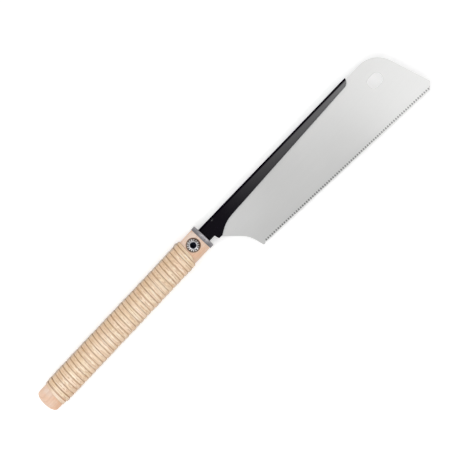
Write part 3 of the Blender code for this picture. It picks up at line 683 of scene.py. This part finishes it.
TOOTH_BEVEL = 0.0008
TOOTH_SET = 0.00008
SPOT_RISE = 0.0026
SPOT_HALF = (0.00083, 0.0012)
TOE_CHAMFER = (0.0076, 0.0072)
TOE_LEAN = np.radians(16.6)
TOE_ROUND = 0.0012
NOSE_ROUND = 0.029
HOLE_BEHIND_NOSE = 0.0207
HOLE_DEPTH = 0.0252
HOLE_HALF = (0.0086, 0.0062)
HOLE_ROUND = 0.0055
RIVET_RADIUS = 0.0012
RIVET_GAP = 0.00002
RIVET_SIDES = 24
ROOT_RIVET = (0.018, 0.003)
TANG_RIVET = (-0.0062, 0.0132)
TANG_SLOT = 0.0032
SLOT_POINTS = 25


def straight(x, y, radius=0.0):
    """A corner of the tang, measured from the ferrule's front."""
    return HANDLE_FRONT + x, y, radius


def drooped(x, depth, radius=0.0):
    """A corner of the blade, measured along and down from its back's top edge, which droops a little."""
    y = TANG_TOP - depth
    along = x * np.cos(BLADE_DROOP) + y * np.sin(BLADE_DROOP)
    up = y * np.cos(BLADE_DROOP) - x * np.sin(BLADE_DROOP)
    return HANDLE_FRONT + along, up, radius


def tang_slot(end, width):
    """The corners of the tang's slot for the clamp screw, open at the tang's end, from the tooth side."""
    turn = np.radians(np.linspace(-90, 90, SLOT_POINTS))
    inner = SCREW_AXIS + width * np.column_stack([np.cos(turn), np.sin(turn)])
    mouth = np.array([[end, SCREW_AXIS[1] - width], [end, SCREW_AXIS[1] + width]])
    outline = np.concatenate([mouth[:1], inner, mouth[1:]])
    return np.column_stack([outline, np.zeros(len(outline))])


def tooth_line(along, depth):
    """Points along the line of the tooth tips from the heel, and up from it by depth."""
    x = HEEL + along * np.cos(TOOTH_SLOPE) - depth * np.sin(TOOTH_SLOPE)
    down = HEEL_DEPTH + along * np.sin(TOOTH_SLOPE) - depth * np.cos(TOOTH_SLOPE)
    return np.column_stack(drooped(x, down)[:2])


def teeth(bevelled):
    """The gullets and tips from the toe to the heel, with the tips of every second tooth filed back where
    bevelled is 0 (even teeth) or 1 (odd ones)."""
    tooth = np.arange(TOOTH_COUNT)[::-1]
    pitch = TOOTH_LINE / TOOTH_COUNT
    gullets = tooth_line(TOOTH_LEAD + pitch * (tooth + 1), np.full(TOOTH_COUNT, TOOTH_DEPTH))
    filed = TOOTH_BEVEL * (tooth % 2 == bevelled)
    tips = tooth_line(TOOTH_LEAD + pitch * (tooth + TOOTH_LEAN), filed)
    return np.stack([gullets, tips], axis=1).reshape(-1, 2)


def rivet_hole(place):
    """A circle round a rivet's place, a hair wider than the rivet."""
    angles = 2 * np.pi * np.arange(RIVET_SIDES) / RIVET_SIDES
    circle = np.column_stack([np.cos(angles), np.sin(angles)])
    return np.asarray(place[:2]) + (RIVET_RADIUS + RIVET_GAP) * circle


def at_height(outline, z):
    """A flat outline as points at the height z."""
    return np.column_stack([outline, np.broadcast_to(z, len(outline))])


RIVETS = {
    "root_rivet": drooped(*ROOT_RIVET),
    "tang_rivet": straight(TANG_RIVET[0], TANG_TOP - TANG_RIVET[1]),
}
edge_length = TOOTH_LEAD + TOOTH_LINE
toe_end = (HEEL + edge_length * np.cos(TOOTH_SLOPE), HEEL_DEPTH + edge_length * np.sin(TOOTH_SLOPE))
toe = (toe_end[0] + TOE_CHAMFER[0], toe_end[1] - TOE_CHAMFER[1])
nose = toe[0] - (toe[1] - PLATE_SETBACK) * np.tan(TOE_LEAN)


def plate_patches():
    """Two flat faces and the walls between them. The near and far outlines differ at the bevelled teeth, and
    the tips lean to one side and the other by the set."""
    end = PLATE_INSET - TANG_LENGTH
    hook = HOOK_DEPTH - PLATE_INSET
    corners = [
        straight(end, TANG_TOP - PLATE_SETBACK),
        straight(0, TANG_TOP - PLATE_SETBACK),
        drooped(nose, PLATE_SETBACK, NOSE_ROUND),
        drooped(*toe, TOE_ROUND),
        drooped(*toe_end),
        drooped(HEEL, HEEL_DEPTH, HEEL_ROUND),
        drooped(*HEEL_BEND),
        drooped(HOOK_TIP - HEEL_BEHIND_TIP, hook),
        drooped(HOOK_REAR + 2 * PLATE_INSET, hook),
        straight(NOTCH_LENGTH + 2 * PLATE_INSET, PLATE_INSET - TANG_TOP),
        straight(end, PLATE_INSET - TANG_TOP),
        *tang_slot(HANDLE_FRONT + end, TANG_SLOT + PLATE_INSET),
    ]
    runs = rounded(corners)
    lead = tooth_line(np.array([TOOTH_LEAD, TOOTH_LEAD - TOOTH_DEPTH]), np.array([TOOTH_DEPTH, 0]))
    near, far = (np.concatenate([*runs[:5], teeth(side), lead, *runs[5:]]) for side in (0, 1))
    left, right = nose - HOLE_BEHIND_NOSE - HOLE_HALF[0], nose - HOLE_BEHIND_NOSE + HOLE_HALF[0]
    top, bottom = HOLE_DEPTH - HOLE_HALF[1], HOLE_DEPTH + HOLE_HALF[1]
    hole_corners = [(left, top), (right, top), (right, bottom), (left, bottom)]
    hole = np.concatenate(rounded([drooped(*corner, HOLE_ROUND) for corner in hole_corners]))
    holes = [hole, *map(rivet_hole, RIVETS.values())]
    first = sum(len(run) for run in runs[:5])
    lean = np.where(np.arange(TOOTH_COUNT)[::-1] % 2, TOOTH_SET, -TOOTH_SET)
    bend = np.zeros(len(near))
    bend[first + 1 : first + 2 * TOOTH_COUNT : 2] = lean
    near, far = at_height(near, PLATE_HALF + bend), at_height(far, -PLATE_HALF + bend)
    patches = [grid(np.stack([near, far]))]
    sides = []
    for z, outline in ((PLATE_HALF, near), (-PLATE_HALF, far)):
        rings = [at_height(loop, z) for loop in holes]
        level = at_height(outline[:, :2], z)
        points, faces = flat(level, *rings)
        points[: len(outline)] = outline
        patches.append((points, faces))
        sides.append(rings)
    patches += [grid(np.stack(pair)) for pair in zip(*sides)]
    return patches


def ground_steel_finish():
    """Ground spring steel: hairlines along the blade, broad faint clouds, a root made paler by painted light,
    and a dark spot, an ellipse, in every second gullet along the line of the teeth: a hardening mark with
    painted shade."""
    material, place, feed = finish_of("ground blade steel", {"Metallic": 0.35})
    slope = BLADE_DROOP + TOOTH_SLOPE
    heel = drooped(HEEL, HEEL_DEPTH)
    heel_at = {"Vector": place, "Location": (-heel[0], -heel[1], 0)}
    from_heel = place.node("Mapping", {}, heel_at).stretched((1, 1, 1), (0, 0, slope))
    pitch = TOOTH_LINE / TOOTH_COUNT
    beat = (from_heel.axis(0) - TOOTH_LEAD) / (2 * pitch) % 1 - 0.5
    along_spot = beat * (2 * pitch / SPOT_HALF[0])
    across_spot = (from_heel.axis(1) - SPOT_RISE) / SPOT_HALF[1]
    spread = along_spot * along_spot + across_spot * across_spot
    # A dark spot in every second gullet: a hardening mark with painted shade of the bevelled gullet.
    spot = spread.step(1.25, 0.6) * from_heel.axis(0).step(TOOTH_LEAD, TOOTH_LEAD + pitch)
    hairs = place.stretched((30, 2400, 2400), (0, 0, BLADE_DROOP)).noise(1.0, 3.0, 0.6)
    clouds = place.stretched((18, 18, 18)).noise(1.0, 2.0)
    tone = (hairs * 0.5 + clouds * 0.5).over((0.685, 0.685, 0.68, 1), (0.785, 0.785, 0.775, 1))
    # Painted light: the plate is paler towards its root, below the back.
    root = place.axis(0).step(HANDLE_FRONT + 0.10, HANDLE_FRONT + 0.02) * place.axis(1).step(-0.05, -0.012)
    tone = (root * 0.3).over(tone, (0.98, 0.98, 0.98, 1))
    feed(
        colour=(spot * 0.75).over(tone, (0.04, 0.04, 0.043, 1)),
        roughness=0.24 + 0.08 * hairs + 0.04 * clouds,
        height=hairs,
        depth=0.000006,
    )
    return material


plate = piece("toothed_plate", plate_patches(), ground_steel_finish(), sharp=20.0)
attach(plate, "blade_unit")
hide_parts("saw_blade")


# Folded back: a strip of steel folded over the plate's top edge to stiffen it, blacked and smooth. It tapers
# to a slanted toe end, hooks down at its root, and its tang, slotted for the screw, goes into the head.
BACK_HALF = 0.0013
FOLD_INSIDE = 0.0003
BACK_LENGTH = nose - 0.041
BACK_TOE = (0.0034, 0.0069, 0.0075)
HOOK_ROUND = 0.0011
FLARE = (0.0267, 0.0148, 0.039)
BACK_EDGE = 0.00015
FOLD_POINTS = 17
DULL_RIDGE = (0.0019, 0.0031)


def drawn_in(outline, distance):
    """A clockwise outline moved inwards: each point goes along the mean of its two sides' normals, so far
    that both sides move by the distance."""
    side = np.roll(outline, -1, axis=0) - outline
    normal = np.column_stack([side[:, 1], -side[:, 0]]) / np.linalg.norm(side, axis=1)[:, None]
    before = np.roll(normal, 1, axis=0)
    middle = normal + before
    return outline + distance * middle / np.maximum(0.3, 1 + np.sum(normal * before, axis=1))[:, None]


def back_patches():
    """Two leaves with one outline, lowered by the fold's radius, and the fold itself: a half circle of points
    (depth, z) = r (1 - cos, sin) carried along the top edge from the tang to the toe."""
    end = -TANG_LENGTH
    slant = BACK_TOE[0] / BACK_TOE[1]
    corners = [
        straight(end, TANG_TOP - BACK_HALF),
        straight(0, TANG_TOP - BACK_HALF),
        drooped(BACK_LENGTH - slant * BACK_HALF, BACK_HALF),
        drooped(BACK_LENGTH - BACK_TOE[0], *BACK_TOE[1:]),
        drooped(*FLARE),
        drooped(HOOK_TIP, HOOK_DEPTH, HOOK_ROUND),
        drooped(HOOK_REAR, HOOK_DEPTH, HOOK_ROUND),
        straight(NOTCH_LENGTH, -TANG_TOP),
        straight(end, -TANG_TOP),
        *tang_slot(HANDLE_FRONT + end, TANG_SLOT),
    ]
    leaf = np.concatenate(rounded(corners))
    inner = drawn_in(leaf, BACK_EDGE)
    inner[:3] = leaf[:3]
    holes = [rivet_hole(place) for place in RIVETS.values()]
    rim = np.concatenate([np.arange(2, len(leaf)), [0]])
    patches = []
    for side in (1, -1):
        outside, inside = side * BACK_HALF, side * FOLD_INSIDE
        soft = outside - side * BACK_EDGE
        patches.append(flat(at_height(inner, outside), *[at_height(hole, outside) for hole in holes]))
        patches.append(flat(at_height(leaf, inside), *[at_height(hole, inside) for hole in holes]))
        walls = [at_height(inner, outside)[rim], at_height(leaf, soft)[rim], at_height(leaf, inside)[rim]]
        patches.append(grid(np.stack(walls), closed=False))
        patches += [grid(np.stack([at_height(hole, outside), at_height(hole, inside)])) for hole in holes]
    turn = np.radians(np.linspace(90, -90, FOLD_POINTS))
    depth, z = BACK_HALF * (1 - np.cos(turn)), BACK_HALF * np.sin(turn)
    stations = [
        straight(end, TANG_TOP - depth),
        straight(0, TANG_TOP - depth),
        drooped(BACK_LENGTH - slant * depth, depth),
    ]
    fold = np.stack([np.stack(np.broadcast_arrays(x, y, z), axis=-1) for x, y, radius in stations])
    floor = np.stack([at_height(leaf[:3], FOLD_INSIDE), at_height(leaf[:3], -FOLD_INSIDE)], axis=1)
    patches += [grid(fold, closed=False), grid(floor, closed=False)]
    levels = (BACK_EDGE - BACK_HALF, -FOLD_INSIDE, FOLD_INSIDE, BACK_HALF - BACK_EDGE)
    ends = np.stack([at_height(leaf[:3], level) for level in levels], axis=1)
    patches += [flat(np.concatenate([fold[i], ends[i]])) for i in (0, -1)]
    return patches


def blacked_finish():
    """Blacked steel: a deep, smooth black with faint drawing lines along the strip and cloudy patches. The
    fold's ridge is dull, and a gloss comes in below it."""
    constants = {"Specular IOR Level": 0.0, "Coat IOR": 2.0, "Coat Roughness": 0.12}
    material, place, feed = finish_of("blacked steel", constants)
    lines = place.stretched((14, 1500, 1500), (0, 0, BLADE_DROOP)).noise(1.0, 3.0)
    clouds = place.stretched((60, 60, 60)).noise(1.0, 3.0)
    tone = (lines * 0.5 + clouds * 0.5).over((0.0015, 0.0006, 0.0025, 1), (0.005, 0.003, 0.008, 1))
    top = TANG_TOP + HANDLE_FRONT * np.sin(BLADE_DROOP)
    depth = top - place.stretched((1, 1, 1), (0, 0, BLADE_DROOP)).axis(1)
    feed(
        colour=tone,
        roughness=0.3 + 0.2 * clouds,
        coat=depth.step(*DULL_RIDGE),
        height=lines + 0.5 * clouds,
        depth=0.000002,
    )
    return material


blacked = blacked_finish()
back = piece("folded_back", back_patches(), blacked)
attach(back, "blade_unit")
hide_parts("saw_back")


# Rivets: two short steel pins through both leaves of the back and the plate, with low domed ends, blacked
# with the back. One sits near the root's top edge and one in the tang.
RIVET_PROUD = 0.0001
PIN_SIDES = 32


def turned(centre, profile, sides=AROUND):
    """A turned solid: the (radius, z) profile carried round an axis along Z, through the centre (x, y)."""
    profile = np.asarray(profile, float)
    angles = 2 * np.pi * np.arange(sides) / sides
    return ring(centre, profile[:, :1], angles[None, :], profile[:, 1:])


rivet_dome = np.radians(np.linspace(0, 90, 7))
rivet_height = BACK_HALF + RIVET_PROUD * np.cos(rivet_dome)
rivet_half = np.column_stack([RIVET_RADIUS * np.sin(rivet_dome), rivet_height])
rivet_profile = np.concatenate([rivet_half, rivet_half[::-1] * [1, -1]])
for name, place in RIVETS.items():
    rivet = piece(f"{name}_pin", [grid(turned(place, rivet_profile, PIN_SIDES))], blacked)
    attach(rivet, "blade_unit")
    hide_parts(name)


# Tee nut: a turned steel nut with a round flange, bright zinc plated. It is pressed into the far side of the
# head, with its flange in a counterbore, and the clamp screw goes into it.
NUT_HOLE = 0.00315
NUT_BARREL = 0.00435
NUT_FLANGE = 0.0068
NUT_BASE = -0.00838
NUT_SEAT = -0.00708
NUT_TOP = -0.00255
NUT_EDGE = 0.00025
nut_profile = [
    (NUT_HOLE, NUT_TOP),
    (NUT_BARREL - NUT_EDGE, NUT_TOP),
    (NUT_BARREL, NUT_TOP - NUT_EDGE),
    (NUT_BARREL, NUT_SEAT),
    (NUT_FLANGE - NUT_EDGE, NUT_SEAT),
    (NUT_FLANGE, NUT_SEAT - NUT_EDGE),
    (NUT_FLANGE, NUT_BASE + NUT_EDGE),
    (NUT_FLANGE - NUT_EDGE, NUT_BASE),
    (NUT_HOLE + 2 * NUT_EDGE, NUT_BASE),
    (NUT_HOLE, NUT_BASE + 2 * NUT_EDGE),
    (NUT_HOLE, NUT_TOP),
]
nut = piece("flanged_nut", [grid(turned(SCREW_AXIS, nut_profile))], zinc, sharp=30.0)
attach(nut, "handle")
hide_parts("tee_nut")


# Cup washer: a turned steel ring, bright zinc plated and captive under the screw's head. Its rim stands up
# round the head, slopes down outwards and is serrated by notches between flat lands.
WASHER_HOLE = 0.00315
WASHER_RADIUS = 0.0067
WASHER_SEAT = 0.00515
WASHER_BOTTOM = 0.00448
WASHER_TOP = 0.00568
RIM_TOP = 0.0082
RIM_EDGE = 0.0001
RIM_FALL = 0.0005
SERRATIONS = 15
SERRATION_DEPTH = 0.0009
SERRATION_SIDES = 8


def washer_patches():
    """The ring's section, (radius, z, share of the notches), carried round. At the share f of a serration the
    notches lower it by d clip(2 |2 f - 1| - 1, 0, 1), where d is their depth."""
    profile = np.array(
        [
            (WASHER_HOLE, WASHER_TOP, 0),
            (WASHER_SEAT, WASHER_TOP, 0),
            (WASHER_SEAT, RIM_TOP - RIM_EDGE, 0),
            (WASHER_SEAT + RIM_EDGE, RIM_TOP, 0),
            (WASHER_RADIUS - RIM_EDGE, RIM_TOP - RIM_FALL, 1),
            (WASHER_RADIUS, RIM_TOP - RIM_FALL - RIM_EDGE, 1),
            (WASHER_RADIUS, WASHER_TOP, 0),
            (WASHER_RADIUS, WASHER_BOTTOM, 0),
            (WASHER_HOLE, WASHER_BOTTOM, 0),
            (WASHER_HOLE, WASHER_TOP, 0),
        ]
    )
    sides = SERRATION_SIDES * SERRATIONS
    points = turned(SCREW_AXIS, profile[:, :2], sides)
    from_land = np.abs(2 * (np.arange(sides) / SERRATION_SIDES % 1) - 1)
    points[..., 2] -= SERRATION_DEPTH * profile[:, 2:] * np.clip(2 * from_land - 1, 0, 1)
    return [grid(points)]


washer_plate = plated_finish("washer plate", (0.80, 0.78, 0.77), 0.2, 1.0, SERRATIONS)
washer = piece("cup_washer", washer_patches(), washer_plate, sharp=15.0)
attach(washer, "washer")
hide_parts("screw_washer")


# Clamp screw: a low-headed machine screw, turned from steel and bright zinc plated, with a hex socket that
# has a round lead-in. The plating hardly reaches into the socket; the socket and its lead-in are painted black
# as shade.
HEAD_TOP = 0.00938
HEAD_SEAT = 0.00578
HEAD_RADIUS = 0.005
HEAD_CONE = (0.0043, 0.0091)
SHANK_RADIUS = 0.003
SHANK_END = -0.00738
SHANK_EDGE = 0.0005
HEX_HALF = 0.0025
HEX_DEPTH = 0.0026
DRILL_POINT = 0.0006
LEAD_IN = 0.0036
LEAD_DEPTH = 0.0003


def screw_patches():
    """The head's and shank's profile carried round, and the socket: a circle drawn in to a hexagon, whose
    radius at an angle is its half width over the cosine of the angle from the nearest flat's middle."""
    bend = np.radians(np.linspace(0, 90, 6))
    edge = np.column_stack([np.sin(bend), np.cos(bend) - 1]) * (HEAD_RADIUS - HEAD_CONE[0]) + HEAD_CONE
    body = [(HEAD_RADIUS, HEAD_SEAT), (SHANK_RADIUS, HEAD_SEAT), (SHANK_RADIUS, SHANK_END + SHANK_EDGE)]
    body += [(SHANK_RADIUS - SHANK_EDGE, SHANK_END), (0, SHANK_END)]
    outside = turned(SCREW_AXIS, np.concatenate([[(LEAD_IN, HEAD_TOP)], edge[1:], body]))
    angles = 2 * np.pi * np.arange(AROUND) / AROUND
    flat_middle = (angles + np.pi / 6) % (np.pi / 3) - np.pi / 6
    hexagon = HEX_HALF / np.cos(flat_middle)
    levels = [HEAD_TOP - LEAD_DEPTH, HEAD_TOP - HEX_DEPTH]
    rings = [ring(SCREW_AXIS, hexagon, angles, level) for level in levels]
    rings.append(ring(SCREW_AXIS, np.zeros(AROUND), angles, HEAD_TOP - HEX_DEPTH - DRILL_POINT))
    return [grid(outside), grid(np.stack([outside[0], *rings]))]


def screw_finish():
    """Bright zinc plate with turning marks round the axis, and painted shade, black, in the socket and its
    lead-in.
    """
    material, place, feed = finish_of("screw plate", {"Metallic": 1.0})
    away = about_screw(place)[1]
    rings = away.node("CombineXYZ", {}, {0: away}).stretched((9000, 1, 1)).noise(1.0, 1.0)
    clouds = place.stretched((420, 420, 420)).noise(1.0, 2.0)
    tone = (clouds * 0.5 + rings * 0.4).over((0.48, 0.48, 0.50, 1), (0.66, 0.66, 0.68, 1))
    # Painted shade: the socket and its round lead-in are black.
    socket_shade = away.step(LEAD_IN + 0.00008, LEAD_IN - 0.00008) * place.axis(2).step(HEAD_SEAT, HEAD_SEAT + 0.0005)
    feed(
        colour=socket_shade.over(tone, (0.004, 0.005, 0.009, 1)),
        roughness=0.22 + 0.12 * clouds + 0.08 * rings,
        height=rings,
        depth=0.00001,
    )
    return material


screw = piece("hex_clamp_screw", screw_patches(), screw_finish(), sharp=30.0)
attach(screw, "clamp_screw")
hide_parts("clamp_screw")


# Studio: a plain pale floor under the saw, a dim ceiling with a bright horizon, and soft lights over the
# grip, before the teeth, behind the back and past the toe. A bank of strip lights, brighter towards the toe,
# shows in the black back.
FLOOR_SPAN = 12.0
FLOOR_PALE = 0.9
FLOOR_GLOW = 0.32
floor_level = cad_box[0].z
floor_mesh = bpy.data.meshes.new("floor")
reach = FLOOR_SPAN / 2
floor_corners = ((-reach, -reach), (reach, -reach), (reach, reach), (-reach, reach))
floor_points = [(x, y, floor_level) for x, y in floor_corners]
floor_mesh.from_pydata(floor_points, [], [(0, 1, 2, 3)])
floor = bpy.data.objects.new("floor", floor_mesh)
bpy.context.scene.collection.objects.link(floor)

floor_paint = bpy.data.materials.new("floor paint")
floor_paint.use_nodes = True
floor_nodes = floor_paint.node_tree.nodes
floor_nodes.remove(floor_nodes["Principled BSDF"])
sight = Shade(floor_paint.node_tree)
camera_ray, glossy_ray, clear_ray = (
    sight.node("LightPath", output=f"Is {kind} Ray") for kind in ("Camera", "Glossy", "Transmission")
)
seen = camera_ray + glossy_ray + clear_ray
matt = sight.node("BsdfDiffuse", {}, {"Color": (FLOOR_PALE, FLOOR_PALE, FLOOR_PALE, 1)})
glow = sight.node("Emission", {}, {"Strength": seen * FLOOR_GLOW})
painted = sight.node("AddShader", {}, {0: matt, 1: glow})
floor_paint.node_tree.links.new(painted.socket, floor_nodes["Material Output"].inputs["Surface"])
floor_mesh.materials.append(floor_paint)

HORIZON = (1.0, 1.0, 1.0, 1)
CEILING = (0.025, 0.025, 0.025, 1)
world = bpy.data.worlds.new("studio")
bpy.context.scene.world = world
world.use_nodes = True
sky = Shade(world.node_tree).node("TexCoord", output="Generated")
backdrop = sky.axis(2).step(0.15, 0.5).over(HORIZON, CEILING)
world.node_tree.links.new(backdrop.socket, world.node_tree.nodes["Background"].inputs["Color"])

BANK_START = 0.289
BANK_PITCH = 0.0269
BANK_STRIPS = 10
BANK_HEIGHT = 0.55
BANK_LIGHT = 1.75
BANK_Y = 0.205
BANK_SPAN = 0.41


def soft_light(name, at, size, radiance, aim):
    """A rectangular soft light of an even radiance, pi times which is its power over its area. It points from
    its place to a target and isn't seen by the camera itself."""
    lamp = bpy.data.lights.new(name, "AREA")
    lamp.shape = "RECTANGLE"
    lamp.size, lamp.size_y = size
    lamp.energy = np.pi * radiance * size[0] * size[1]
    light = bpy.data.objects.new(name, lamp)
    light.location = at
    light.rotation_mode = "QUATERNION"
    light.rotation_quaternion = (Vector(aim) - Vector(at)).to_track_quat("-Z", "Y")
    light.visible_camera = False
    bpy.context.scene.collection.objects.link(light)


soft_light("over the grip", at=(-0.35, -0.06, 0.75), size=(0.8, 0.9), radiance=2.46, aim=(-0.3, -0.06, 0))
soft_light("before the teeth", at=(0.22, -0.75, 0.95), size=(0.5, 0.5), radiance=2.9, aim=(0.25, 0, 0))
soft_light("behind the back", at=(0.25, 0.9, 1.0), size=(1.7, 1.2), radiance=0.85, aim=(0.25, 0, 0))
toe_light = (0.755, -0.24)
soft_light("past the toe", at=(*toe_light, BANK_HEIGHT), size=(0.45, 0.6), radiance=1.7, aim=(*toe_light, 0))
for strip in range(BANK_STRIPS):
    x = BANK_START + BANK_PITCH * (strip + 0.5)
    radiance = BANK_LIGHT * (strip + 0.5) / BANK_STRIPS
    soft_light(f"bank {strip}", (x, BANK_Y, BANK_HEIGHT), (BANK_PITCH, BANK_SPAN), radiance, (x, BANK_Y, 0))

CAMERA_PLACE = (0.2690, -0.0237, 1.3)
CAMERA_TURN = np.radians(-46.7)
CAMERA_LENS = 93.73
CAMERA_SENSOR = 36.0
view = bpy.data.cameras.new("view")
view.sensor_width = CAMERA_SENSOR
view.lens = CAMERA_LENS
camera = bpy.data.objects.new("view", view)
camera.location = CAMERA_PLACE
camera.rotation_euler = (0, 0, CAMERA_TURN)
bpy.context.scene.collection.objects.link(camera)
bpy.context.scene.camera = camera
bpy.context.scene.view_settings.view_transform = "Standard"
